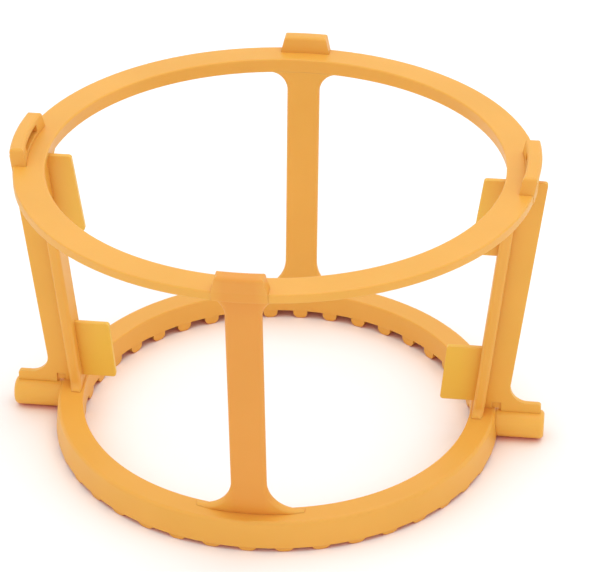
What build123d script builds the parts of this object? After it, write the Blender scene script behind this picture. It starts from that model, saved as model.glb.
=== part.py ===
from build123d import *
import os

# Moulded cage that carries two stacked honey sieves.
# Millimetres, +Z up, origin on the floor at the centre of the rings.
# The two stubs point along +X and -X, and the plain posts stand at -Y (front) and +Y (back).

# ---- top ring -----------------------------------------------------------
FLANGE_R = 130.0            # outer radius of the flange
OPENING_R = 114.0           # radius of the opening that takes the upper sieve
TOP_Z = 154.8               # upper face of the flange
FLANGE_T = 4.4              # flange thickness
SKIRT_DROP = 8.1            # depth of the skirt below the flange's upper face
SKIRT_T = 3.0               # skirt wall
SKIRT_SPLAY = 1.4           # the skirt widens this much towards its lower edge
RIM_ROUND = 0.9             # rounding of the flange's two upper edges

# ---- bottom ring --------------------------------------------------------
BASE_R = 114.8              # outer radius at the top
BASE_FOOT_R = 116.1         # outer radius at the foot
BASE_HOLE_R = 101.6         # inner radius
BASE_H = 16.4               # height
BASE_WALL = 2.6             # side walls
BASE_DECK = 3.0             # top plate
OUTER_WALL_Z = 2.2          # the outer wall stops this far above the floor
INNER_WALL_Z = 4.6          # the inner wall stops this far above the floor
BASE_OUTER_ROUND = 1.8      # rounding of the upper outer edge
BASE_INNER_ROUND = 0.8      # rounding of the upper inner edge

KNOB_H = 6.0                # rounded knobs under the bottom ring, in two rows
INNER_KNOBS = 38
INNER_KNOB_W = 8.0
INNER_KNOB_ROUND = 3.4
INNER_KNOB_R = (101.8, 107.0)   # their two ends
OUTER_KNOBS = 40
OUTER_KNOB_W = 10.5
OUTER_KNOB_ROUND = 4.2
OUTER_KNOB_R = (109.5, 115.6)

# ---- posts --------------------------------------------------------------
POST_W = 17.5               # width of a post's straight length
POST_T = 4.8                # thickness of a plain post
WEBBED_POST_T = 6.0         # thickness of a post with a web, which is let into its back
POST_FOOT_R = 102.9         # inner face of a post where it meets the bottom ring
FOOT_FLARE = 18.0           # radius of the flare at a plain post's foot
WEBBED_FOOT_FLARE = 3.7     # the same on a post with a web
HEAD_FLARE = 10.4           # radius of the flare at a post's head
FLARE_LIP = 0.6             # the flares end in an edge this thick
POST_ROUND = 2.0            # rounding of the long edges
TENON_HALF_W = 6.0          # tenon into the bottom ring's top plate
TENON_T = 2.6
TENON_INSET = 1.0           # from the post's inner face
TENON_DEPTH = 6.0
KEY_HALF_W = 5.0            # key into the flange
KEY_T = 1.4
KEY_INSET = 0.6             # from the post's outer face
KEY_H = 2.2
LAP = 1.0                   # tenons, keys and spigots reach this far into their own piece

# ---- webs ---------------------------------------------------------------
WEB_T = 2.6                 # upright radial plate
WEB_EDGE_R = 121.8          # its outer edge at WEB_EDGE_Z
WEB_EDGE_Z = 31.0
WEB_LEAN = 0.1105
UPPER_LUG_Z = 107.9         # lower edge of the upper lug
UPPER_LUG_R = 97.9          # inner edge of the upper lug, at its lower edge
LOWER_LUG_Z = (20.5, 52.6)
LOWER_LUG_R = 85.4          # inner edge of the lower lug, at its lower edge
LUG_LEAN = (0.087, 0.13)    # lean of the lower and of the upper lug's inner edge
CORNER_ROUND = 1.6
DIMPLE_R = (112.6, 117.3)   # sunk corner over the bottom ring's outer edge, on both faces
DIMPLE_TOP = 20.2
DIMPLE_DEPTH = 0.9

# ---- stubs --------------------------------------------------------------
STUB_R = 7.6                # outer radius of the stub, which rests on the floor
STUB_BORE_R = 5.0
STUB_BORE_L = 20.0
STUB_END = 140.1
STUB_END_ROUND = 2.4
SPIGOT_R = 4.5
SPIGOT_START = 108.0        # inner end of the spigot, inside the bottom ring
RIB_TOP = 20.5              # upper edge of the rib over the stub
RIB_START = 116.2           # inner end of the rib, clear of the bottom ring's outer wall
RIB_END = 138.0
RIB_GROOVE = 1.2            # depth of the groove in the stub that holds the rib
RIB_FILLET = 9.5

# ---- rim tabs -----------------------------------------------------------
TAB_H = 8.5                 # the tabs stand this high above the flange
TAB_INNER_R = 123.2         # inner face at the flange
TAB_TOP_R = (124.2, 131.6)  # inner and outer edge of the upper face
TAB_SEAT = 1.2              # depth of the seat in the flange
TAB_ROUND = 1.9
APRON_R = (128.0, 130.3)    # the tab's outer wall runs down through a notch in the flange's rim
NARROW_HALF = (11.0, 13.1)  # half length of the front and back tabs, at the top and at the flange
WIDE_HALF = (20.5, 22.3)    # half length of the side tabs
POCKET_HALF = 12.0          # pocket in a side tab's inner face
POCKET_Z = (1.5, 5.7)       # its lower and upper edge above the flange
POCKET_R = 128.6            # its back

# ---- derived ------------------------------------------------------------
FLANGE_Z = TOP_Z - FLANGE_T         # underside of the flange
SKIRT_Z = TOP_Z - SKIRT_DROP        # lower edge of the skirt
SKIRT_FOOT_R = OPENING_R + SKIRT_SPLAY
POST_LEAN = (SKIRT_FOOT_R - POST_FOOT_R) / (SKIRT_Z - BASE_H)   # a post's face runs into the skirt's
STUB_TOP = 2 * STUB_R - RIB_GROOVE  # bottom of the groove in the stub

os.makedirs("parts", exist_ok=True)


def spin(points):
    """Solid of revolution about Z from a closed outline of (radius, height) points."""
    outline = Polyline(*[(r, 0, z) for r, z in points], close=True)
    return revolve(make_face(outline), Axis.Z, 360)


def slab(outline, half_y):
    """Plate in the XZ plane, half_y thick to each side of it, from a closed wire."""
    return extrude(make_face(outline), half_y, dir=(0, 1, 0), both=True)


def box_at(x0, x1, half_y, z0, z1):
    """Box between two X planes and two Z planes, centred on Y."""
    block = Box(x1 - x0, 2 * half_y, z1 - z0)
    return Pos((x0 + x1) / 2, 0, (z0 + z1) / 2) * block


def post_radius(z):
    """Radius of a post's inner face at height z."""
    return POST_FOOT_R + POST_LEAN * (z - BASE_H)


def web_radius(z):
    """Radius of a web's outer edge at height z."""
    return WEB_EDGE_R + WEB_LEAN * (z - WEB_EDGE_Z)


# ---- rings --------------------------------------------------------------
def make_top_ring():
    """Flat flange with a short skirt round its opening."""
    ring = spin([
        (OPENING_R, TOP_Z),
        (FLANGE_R, TOP_Z),
        (FLANGE_R, FLANGE_Z),
        (OPENING_R + SKIRT_T + SKIRT_SPLAY / 2, FLANGE_Z),
        (SKIRT_FOOT_R + SKIRT_T, SKIRT_Z),
        (SKIRT_FOOT_R, SKIRT_Z),
    ])
    top_rims = ring.edges().filter_by(GeomType.CIRCLE).group_by(Axis.Z)[-1]
    return fillet(top_rims, RIM_ROUND)


def make_knobs(count, width, rounding, ends):
    """A row of knobs with rounded undersides, one of them on the +Y side."""
    start, tip = ends
    bar = box_at(0, BASE_FOOT_R, width / 2, 0, KNOB_H)
    long_edges = bar.edges().group_by(Axis.Z)[0].filter_by(Axis.X)
    bar = fillet(long_edges, rounding)
    band = spin([(start, 0), (tip, 0), (tip, KNOB_H), (start, KNOB_H)])
    knob = bar & band
    return [Rot(0, 0, 90 + 360 / count * n) * knob for n in range(count)]


def make_bottom_ring():
    """Hollow ring, open below, standing on its knobs."""
    ring = spin([
        (BASE_HOLE_R, INNER_WALL_Z),
        (BASE_HOLE_R, BASE_H),
        (BASE_R, BASE_H),
        (BASE_FOOT_R, OUTER_WALL_Z),
        (BASE_FOOT_R - BASE_WALL, OUTER_WALL_Z),
        (BASE_R - BASE_WALL, BASE_H - BASE_DECK),
        (BASE_HOLE_R + BASE_WALL, BASE_H - BASE_DECK),
        (BASE_HOLE_R + BASE_WALL, INNER_WALL_Z),
    ])
    rims = ring.edges().filter_by(GeomType.CIRCLE).group_by(Axis.Z)[-1]
    ring = fillet(rims.sort_by(SortBy.LENGTH)[-1], BASE_OUTER_ROUND)
    rims = ring.edges().filter_by(GeomType.CIRCLE).group_by(Axis.Z)[-1]
    ring = fillet(rims.sort_by(SortBy.LENGTH)[0], BASE_INNER_ROUND)
    inner = make_knobs(INNER_KNOBS, INNER_KNOB_W, INNER_KNOB_ROUND, INNER_KNOB_R)
    outer = make_knobs(OUTER_KNOBS, OUTER_KNOB_W, OUTER_KNOB_ROUND, OUTER_KNOB_R)
    return ring.fuse(*inner, *outer)


def base_envelope():
    """The bottom ring's outside, filled in from its hole outwards."""
    return spin([
        (BASE_HOLE_R, 0),
        (BASE_HOLE_R, BASE_H),
        (BASE_R, BASE_H),
        (BASE_FOOT_R, OUTER_WALL_Z),
        (BASE_FOOT_R, 0),
    ])


# ---- posts --------------------------------------------------------------
def post_outline(foot_flare):
    """Front view of a post on the YZ plane: a straight strip with flared ends."""
    half = POST_W / 2
    low, high = BASE_H, SKIRT_Z
    foot, head = half + foot_flare, half + HEAD_FLARE
    with BuildLine(Plane.YZ) as line:
        Line((-foot, low), (foot, low))
        for side in (1, -1):
            foot_tip = (side * foot, low + FLARE_LIP)
            foot_end = (side * half, low + FLARE_LIP + foot_flare)
            head_end = (side * half, high - FLARE_LIP - HEAD_FLARE)
            head_tip = (side * head, high - FLARE_LIP)
            Line((side * foot, low), foot_tip)
            RadiusArc(foot_tip, foot_end, side * foot_flare)
            Line(foot_end, head_end)
            RadiusArc(head_end, head_tip, side * HEAD_FLARE)
            Line(head_tip, (side * head, FLANGE_Z))
        Line((-head, FLANGE_Z), (head, FLANGE_Z))
    return make_face(line.line)


def make_post(top_ring_blank, foot_flare, thick):
    """Leaning plate on the +X side, with a tenon below and a key above."""
    shell = spin([
        (post_radius(BASE_H), BASE_H),
        (post_radius(FLANGE_Z), FLANGE_Z),
        (post_radius(FLANGE_Z) + thick, FLANGE_Z),
        (post_radius(BASE_H) + thick, BASE_H),
    ])
    window = extrude(post_outline(foot_flare), FLANGE_R, dir=(1, 0, 0))
    plate = shell & window
    mid_z = (BASE_H + SKIRT_Z) / 2
    flanks = [e for e in plate.edges() if e.length > SKIRT_Z / 2 and abs(e.center().Z - mid_z) < SKIRT_Z / 4]
    plate = fillet(flanks, POST_ROUND) - top_ring_blank
    tenon_r = POST_FOOT_R + TENON_INSET
    tenon = box_at(tenon_r, tenon_r + TENON_T, TENON_HALF_W, BASE_H - TENON_DEPTH, BASE_H + LAP)
    key_r = post_radius(FLANGE_Z) + thick - KEY_INSET
    key = box_at(key_r - KEY_T, key_r, KEY_HALF_W, FLANGE_Z - LAP, FLANGE_Z + KEY_H)
    return plate + tenon + key


# ---- webs and stubs -----------------------------------------------------
def make_web():
    """Upright plate on the +X side with an upper lug, a lower lug and a rib over the stub."""
    back = post_radius(0) + POST_T     # bottom of the groove in the post's back, at floor level

    def against_post(z):
        return (back + POST_LEAN * z, z)

    low0, low1 = LOWER_LUG_Z
    lug_low_top = (LOWER_LUG_R + LUG_LEAN[0] * (low1 - low0), low1)
    lug_up_top = (UPPER_LUG_R + LUG_LEAN[1] * (FLANGE_Z - UPPER_LUG_Z), FLANGE_Z)
    head_corner = (web_radius(FLANGE_Z), FLANGE_Z)
    rib_corner = (web_radius(RIB_TOP), RIB_TOP)
    points = [
        against_post(BASE_H),
        against_post(low0),
        (LOWER_LUG_R, low0),
        lug_low_top,
        against_post(low1),
        against_post(UPPER_LUG_Z),
        (UPPER_LUG_R, UPPER_LUG_Z),
        lug_up_top,
        head_corner,
        rib_corner,
        (RIB_END, RIB_TOP),
        (RIB_END, STUB_TOP),
        (RIB_START, STUB_TOP),
        (RIB_START, BASE_H),
    ]
    outline = Polyline(*[(x, 0, z) for x, z in points], close=True)
    plate = slab(outline, WEB_T / 2)

    def rounded(shape, corner, radius):
        at = Vector(corner[0], 0, corner[1])
        edge = shape.edges().filter_by(Axis.Y).sort_by(lambda e: (e.center() - at).length)[0]
        return fillet(edge, radius)

    plate = rounded(plate, rib_corner, RIB_FILLET)
    for corner in ((LOWER_LUG_R, low0), lug_low_top, (UPPER_LUG_R, UPPER_LUG_Z), lug_up_top,
                   head_corner, (RIB_END, RIB_TOP)):
        plate = rounded(plate, corner, CORNER_ROUND)
    dimple_y = WEB_T / 2 - DIMPLE_DEPTH
    for side in (1, -1):
        block = box_at(*DIMPLE_R, WEB_T, STUB_TOP, DIMPLE_TOP)
        plate = plate - Pos(0, side * (WEB_T + dimple_y), 0) * block
    return plate


def make_stub():
    """Round socket on the +X side that rests on the floor, with a spigot into the bottom ring."""
    axis = Rot(0, 90, 0)

    def rod(radius, start, end):
        return Pos((start + end) / 2, 0, STUB_R) * axis * Cylinder(radius, end - start)

    barrel = rod(STUB_R, BASE_R - 1, STUB_END)
    outer_rim = barrel.edges().filter_by(GeomType.CIRCLE).sort_by(Axis.X)[-1]
    barrel = fillet(outer_rim, STUB_END_ROUND) - base_envelope()
    spigot = rod(SPIGOT_R, SPIGOT_START, BASE_FOOT_R + LAP)
    bore = rod(STUB_BORE_R, STUB_END - STUB_BORE_L, STUB_END)
    return barrel + spigot - bore


# ---- rim tabs -----------------------------------------------------------
def make_tab(halves, pocketed):
    """Low curved tab on the +X side, seated in the flange's upper face and its rim."""
    top_half, base_half = halves
    crown_z = TOP_Z + TAB_H
    seat_z = TOP_Z - TAB_SEAT
    body = spin([
        (TAB_INNER_R, seat_z),
        (TAB_INNER_R, TOP_Z),
        (TAB_TOP_R[0], crown_z),
        (TAB_TOP_R[1], crown_z),
        (APRON_R[1], TOP_Z),
        (APRON_R[1], FLANGE_Z),
        (APRON_R[0], FLANGE_Z),
        (APRON_R[0], seat_z),
    ])
    ends = Polyline(
        (0, -base_half, FLANGE_Z),
        (0, base_half, FLANGE_Z),
        (0, base_half, TOP_Z),
        (0, top_half, crown_z),
        (0, -top_half, crown_z),
        (0, -base_half, TOP_Z),
        close=True,
    )
    window = extrude(make_face(ends), FLANGE_R + TAB_H, dir=(1, 0, 0))
    tab = body & window
    crown = tab.faces().sort_by(Axis.Z)[-1]
    tab = fillet(crown.edges(), TAB_ROUND)
    if pocketed:
        low, high = POCKET_Z
        tab = tab - box_at(0, POCKET_R, POCKET_HALF, TOP_Z + low, TOP_Z + high)
    return tab


# ---- build and place ----------------------------------------------------
SIDES = {"right": 0, "back": 90, "left": 180, "front": 270}

top_ring = make_top_ring()
bottom_ring = make_bottom_ring()
web = make_web()
stub = make_stub() - web
plain_post = make_post(top_ring, FOOT_FLARE, POST_T)
webbed_post = make_post(top_ring, WEBBED_FOOT_FLARE, WEBBED_POST_T) - web
narrow_tab = make_tab(NARROW_HALF, pocketed=False)
wide_tab = make_tab(WIDE_HALF, pocketed=True)

pieces = {}
for side, angle in SIDES.items():
    turn = Rot(0, 0, angle)
    webbed = side in ("left", "right")
    pieces[side + "_post"] = turn * (webbed_post if webbed else plain_post)
    pieces[side + "_tab"] = turn * (wide_tab if webbed else narrow_tab)
    if webbed:
        pieces[side + "_web"] = turn * web
        pieces[side + "_stub"] = turn * stub

for name, piece in pieces.items():
    kind = name.split("_")[1]
    if kind in ("post", "web", "tab"):
        top_ring = top_ring - piece
    if kind in ("post", "stub"):
        bottom_ring = bottom_ring - piece

pieces["top_ring"] = top_ring
pieces["bottom_ring"] = bottom_ring

for name, piece in pieces.items():
    export_step(piece, "parts/" + name + ".step")
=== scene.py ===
import math

import bpy
from mathutils import Matrix, Vector

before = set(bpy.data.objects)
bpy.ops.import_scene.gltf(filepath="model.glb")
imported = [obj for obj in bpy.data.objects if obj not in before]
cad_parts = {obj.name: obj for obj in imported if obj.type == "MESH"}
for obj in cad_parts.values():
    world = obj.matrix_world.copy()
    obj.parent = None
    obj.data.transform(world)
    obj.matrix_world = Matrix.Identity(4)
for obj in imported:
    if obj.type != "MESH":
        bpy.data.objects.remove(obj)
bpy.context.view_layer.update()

# The moulded cage of a double sieve strainer, in orange plastic on a pale floor.
# Lengths are metres, and colours are linear.

# ---- camera -------------------------------------------------------------
CAM_AT = (0.0, -1.05277, 0.71410)      # before the turn about Z
CAM_TURN = math.radians(7.5)           # the object stands turned this much to the camera
CAM_PITCH = 0.54104                    # radians, downwards
CAM_YAW = 0.0089530
CAM_ROLL = -0.0010608
CAM_FOCAL_PX = 2402.336
CAM_CLIP = (0.05, 20.0)
IMAGE_W = 590                          # pixels
SENSOR_MM = 36.0

# ---- plastic ------------------------------------------------------------
WHITE = (1.0, 1.0, 1.0)
IOR = 1.46
DEPTH_WEIGHT = 0.15                    # a little light travels inside the plastic
DEPTH_RADIUS = (1.0, 0.40, 0.10)
DEPTH_SCALE = 0.0015
CLOUD_NOISE = (22.0, 3.0)              # scale and detail of the cloudy colour
CLOUD_BAND = (0.30, 0.70)              # noise values between which the two tones blend
PATCH_NOISE = (90.0, 4.0)              # patches of painted edge highlight and gloss
SKIN_NOISE = (700.0, 3.0)              # fine moulded skin
SKIN_STRENGTH = 0.12
SKIN_DEPTH = 0.0002
SOFT_EDGE = 0.0005                     # edges shade as if rounded this much
EDGE_HIGHLIGHT_REACH = 0.0011                    # the painted edge highlight shows this close to an edge
EDGE_HIGHLIGHT_BAND = (0.985, 0.80)              # cosines of the bend that begin and complete it
SHELTER_REACH = 0.004                  # nearer surfaces than this shelter a point
EDGE_HIGHLIGHT_EXPOSURE = (0.70, 0.95)                # exposure at which the painted edge highlight begins and is complete
CREVICE_SHADE_BAND = (0.75, 0.15)            # exposure at which the painted shade in the crevices begins and is complete
CREVICE_SHADE_MOST = 0.65
CREVICE_SHADE_COLOUR = (0.70, 0.23, 0.040)          # painted shade: gaps and seams are painted this redder, darker colour, standing in for shade reddened by light that comes through the plastic
GLOSS_SPREAD = (-0.06, 0.08)           # the patches move the roughness by this much
EDGE_SAMPLES = 6

# the front post and tab get a copy of the plastic painted darker for the shade they stand in
PAINTED_SHADE_NODES = ("front_post", "front_tab")
# the webs and stubs get a copy of the plastic painted paler and yellower for light that shines
# through them
PAINTED_LIGHT_NODES = ("left_web", "right_web", "left_stub", "right_stub")

# ---- floor and light ----------------------------------------------------
FLOOR = (0.98, 0.98, 0.98)
FLOOR_NEAR_SHADOW = (0.98, 0.86, 0.81)        # painted shadow beside the plastic
FLOOR_UNDER_SHADOW = (0.96, 0.36, 0.28)       # painted shadow under it, between the knobs
FLOOR_NEAR_STOP = 0.40                 # exposure at which the floor has its near colour
FLOOR_REACH = 0.030                    # the painted shadow reaches this far from the plastic
FLOOR_SAMPLES = 8
FLOOR_ROUGHNESS = 0.9
FLOOR_HALF = 6.0
FLOOR_DROP = 0.0002                    # the floor lies this far below the object

SKY_STRENGTH = 1.02
KEY_AT = (0.30, 0.10, 2.20)
KEY_AIM = (0, 0, 0.08)
KEY_SIZE = 1.5
KEY_POWER = 10.0


def make_camera():
    data = bpy.data.cameras.new("camera")
    data.sensor_width = SENSOR_MM
    data.sensor_fit = "HORIZONTAL"
    data.lens = CAM_FOCAL_PX / IMAGE_W * SENSOR_MM
    data.clip_start, data.clip_end = CAM_CLIP
    camera = bpy.data.objects.new("camera", data)
    cos_pitch, sin_pitch = math.cos(CAM_PITCH), math.sin(CAM_PITCH)
    cos_yaw, sin_yaw = math.cos(CAM_YAW), math.sin(CAM_YAW)
    cos_roll, sin_roll = math.cos(CAM_ROLL), math.sin(CAM_ROLL)
    look = Vector((sin_yaw * cos_pitch, cos_yaw * cos_pitch, -sin_pitch))
    level = Vector((cos_yaw, -sin_yaw, 0))
    upright = level.cross(look)
    right = level * cos_roll + upright * sin_roll
    up = upright * cos_roll - level * sin_roll
    pose = Matrix((right, up, -look)).transposed().to_4x4()
    pose.translation = Vector(CAM_AT)
    camera.matrix_world = Matrix.Rotation(CAM_TURN, 4, "Z") @ pose
    bpy.context.scene.collection.objects.link(camera)
    bpy.context.scene.camera = camera


# ---- shader nodes -------------------------------------------------------
def node(tree, kind, **values):
    made = tree.nodes.new(kind)
    for key, value in values.items():
        setattr(made, key, value)
    return made


def noise(tree, place, scale_and_detail):
    made = node(tree, "ShaderNodeTexNoise")
    made.inputs["Scale"].default_value = scale_and_detail[0]
    made.inputs["Detail"].default_value = scale_and_detail[1]
    tree.links.new(place, made.inputs["Vector"])
    return made.outputs["Fac"]


def spread(tree, value, start, end=(0.0, 1.0)):
    """Map the value's range start onto the range end, and hold it inside."""
    made = node(tree, "ShaderNodeMapRange")
    made.inputs["From Min"].default_value, made.inputs["From Max"].default_value = start
    made.inputs["To Min"].default_value, made.inputs["To Max"].default_value = end
    tree.links.new(value, made.inputs["Value"])
    return made.outputs["Result"]


def times(tree, first, second):
    made = node(tree, "ShaderNodeMath", operation="MULTIPLY")
    tree.links.new(first, made.inputs[0])
    tree.links.new(second, made.inputs[1])
    return made.outputs["Value"]


def blend(tree, factor, base, colour):
    """Blend the base's output into a plain colour."""
    made = node(tree, "ShaderNodeMix", data_type="RGBA")
    tree.links.new(factor, made.inputs["Factor"])
    tree.links.new(base, made.inputs["A"])
    made.inputs["B"].default_value = (*colour, 1)
    return made.outputs["Result"]


def rounded_normal(tree, radius):
    made = node(tree, "ShaderNodeBevel", samples=EDGE_SAMPLES)
    made.inputs["Radius"].default_value = radius
    return made.outputs["Normal"]


def exposure(tree, reach, samples):
    """How open the surroundings are within reach: 0 is closed in, 1 is open."""
    made = node(tree, "ShaderNodeAmbientOcclusion", samples=samples)
    made.inputs["Distance"].default_value = reach
    return made.outputs["AO"]


def cloudy_colour(tree, place, low, high):
    ramp = node(tree, "ShaderNodeValToRGB")
    for stop, position, colour in zip(ramp.color_ramp.elements, CLOUD_BAND, (low, high)):
        stop.position = position
        stop.color = (*colour, 1)
    tree.links.new(noise(tree, place, CLOUD_NOISE), ramp.inputs["Fac"])
    return ramp.outputs["Color"]


def bend(tree):
    """1 on a flat face, less where the rounded normal leaves the face's own."""
    own = node(tree, "ShaderNodeNewGeometry")
    dot = node(tree, "ShaderNodeVectorMath", operation="DOT_PRODUCT")
    tree.links.new(own.outputs["Normal"], dot.inputs[0])
    tree.links.new(rounded_normal(tree, EDGE_HIGHLIGHT_REACH), dot.inputs[1])
    return dot.outputs["Value"]


def skin_normal(tree, place):
    bump = node(tree, "ShaderNodeBump")
    bump.inputs["Strength"].default_value = SKIN_STRENGTH
    bump.inputs["Distance"].default_value = SKIN_DEPTH
    tree.links.new(noise(tree, place, SKIN_NOISE), bump.inputs["Height"])
    tree.links.new(rounded_normal(tree, SOFT_EDGE), bump.inputs["Normal"])
    return bump.outputs["Normal"]


def distance_from_middle(tree, place):
    axes = node(tree, "ShaderNodeSeparateXYZ")
    tree.links.new(place, axes.inputs["Vector"])
    made = node(tree, "ShaderNodeMath", operation="ABSOLUTE")
    tree.links.new(axes.outputs["X"], made.inputs[0])
    return made.outputs["Value"]


def plastic(name, low, high, edge, rough, other=None, fade=None):
    """Moulded plastic: cloudy colour, fine skin, painted shade that makes crevices redder and
    darker, and a painted highlight that makes edges paler in patches.

    Where |x| runs through fade, in metres, the colour turns into other."""
    mat = bpy.data.materials.new(name)
    mat.use_nodes = True
    tree = mat.node_tree
    tree.nodes.clear()
    link = tree.links.new
    out = node(tree, "ShaderNodeOutputMaterial")
    bsdf = node(tree, "ShaderNodeBsdfPrincipled")
    link(bsdf.outputs["BSDF"], out.inputs["Surface"])
    bsdf.inputs["IOR"].default_value = IOR
    bsdf.inputs["Subsurface Weight"].default_value = DEPTH_WEIGHT
    bsdf.inputs["Subsurface Radius"].default_value = DEPTH_RADIUS
    bsdf.inputs["Subsurface Scale"].default_value = DEPTH_SCALE

    place = node(tree, "ShaderNodeTexCoord").outputs["Object"]
    patch = noise(tree, place, PATCH_NOISE)
    shelter = exposure(tree, SHELTER_REACH, EDGE_SAMPLES)

    colour = cloudy_colour(tree, place, low, high)
    if other:
        colour = blend(tree, spread(tree, distance_from_middle(tree, place), fade), colour, other)
    # painted shade: the more closed in a point is, the more of the redder, darker colour of the
    # crevices it gets
    crevice_shade = spread(tree, shelter, CREVICE_SHADE_BAND, (0.0, CREVICE_SHADE_MOST))
    colour = blend(tree, crevice_shade, colour, CREVICE_SHADE_COLOUR)
    # painted highlight: edges are painted paler in patches, as if catching more light, but not in
    # the seams, which are closed in
    edge_highlight_mask = times(tree, spread(tree, bend(tree), EDGE_HIGHLIGHT_BAND), patch)
    painted_edge_highlight = times(tree, edge_highlight_mask, spread(tree, shelter, EDGE_HIGHLIGHT_EXPOSURE))
    link(blend(tree, painted_edge_highlight, colour, edge), bsdf.inputs["Base Color"])

    gloss = (rough + GLOSS_SPREAD[0], rough + GLOSS_SPREAD[1])
    link(spread(tree, patch, (0.0, 1.0), gloss), bsdf.inputs["Roughness"])
    link(skin_normal(tree, place), bsdf.inputs["Normal"])
    return mat


def make_floor():
    corners = [(-FLOOR_HALF, -FLOOR_HALF, 0), (FLOOR_HALF, -FLOOR_HALF, 0),
               (FLOOR_HALF, FLOOR_HALF, 0), (-FLOOR_HALF, FLOOR_HALF, 0)]
    mesh = bpy.data.meshes.new("floor")
    mesh.from_pydata(corners, [], [(0, 1, 2, 3)])
    floor = bpy.data.objects.new("floor", mesh)
    bpy.context.scene.collection.objects.link(floor)
    mat = bpy.data.materials.new("floor")
    mat.use_nodes = True
    tree = mat.node_tree
    shader = tree.nodes["Principled BSDF"]
    shader.inputs["Roughness"].default_value = FLOOR_ROUGHNESS
    # painted shadow: the floor is painted pinker close to the plastic and red under it, standing in
    # for shade and for light that has come through the plastic
    floor_shadow_ramp = node(tree, "ShaderNodeValToRGB")
    stops = floor_shadow_ramp.color_ramp.elements
    stops[0].color = (*FLOOR_UNDER_SHADOW, 1)
    stops[1].color = (*FLOOR, 1)
    stops.new(FLOOR_NEAR_STOP).color = (*FLOOR_NEAR_SHADOW, 1)
    tree.links.new(exposure(tree, FLOOR_REACH, FLOOR_SAMPLES), floor_shadow_ramp.inputs["Fac"])
    tree.links.new(floor_shadow_ramp.outputs["Color"], shader.inputs["Base Color"])
    mesh.materials.append(mat)
    floor.location.z = -FLOOR_DROP


def make_sky():
    sky = bpy.data.worlds.new("studio")
    sky.use_nodes = True
    background = sky.node_tree.nodes["Background"]
    background.inputs["Color"].default_value = (*WHITE, 1)
    background.inputs["Strength"].default_value = SKY_STRENGTH
    bpy.context.scene.world = sky


def make_key_light():
    data = bpy.data.lights.new("key", "AREA")
    data.shape = "DISK"
    data.size = KEY_SIZE
    data.energy = KEY_POWER
    data.color = WHITE
    lamp = bpy.data.objects.new("key", data)
    lamp.location = KEY_AT
    aim = Vector(KEY_AIM) - Vector(KEY_AT)
    lamp.rotation_euler = aim.to_track_quat("-Z", "Y").to_euler()
    bpy.context.scene.collection.objects.link(lamp)


# ---- build --------------------------------------------------------------
make_camera()

body = plastic("orange_plastic", low=(0.770, 0.376, 0.052), high=(0.810, 0.400, 0.062),
               edge=(0.88, 0.51, 0.13), rough=0.42)
# painted shade: the front post and its tab are painted darker and redder along their middle, where
# they stand in shade
painted_shade_plastic = plastic("orange_plastic_painted_shade", low=(0.735, 0.298, 0.037), high=(0.770, 0.318, 0.045),
               edge=(0.86, 0.46, 0.11), rough=0.44,
               other=(0.790, 0.388, 0.057), fade=(0.0070, 0.0160))
# painted light: the webs and stubs are painted a little paler, and the lugs, which stand inwards,
# yellower, standing in for light that shines through the slim plastic
painted_light_plastic = plastic("orange_plastic_painted_light", low=(0.785, 0.404, 0.052), high=(0.825, 0.428, 0.062),
               edge=(0.88, 0.54, 0.12), rough=0.42,
               other=(0.82, 0.490, 0.060), fade=(0.1120, 0.0950))

for name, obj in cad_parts.items():
    obj.data.materials.clear()
    if name in PAINTED_SHADE_NODES:
        obj.data.materials.append(painted_shade_plastic)
    elif name in PAINTED_LIGHT_NODES:
        obj.data.materials.append(painted_light_plastic)
    else:
        obj.data.materials.append(body)

make_floor()
make_sky()
bpy.context.scene.view_settings.view_transform = "Standard"
make_key_light()
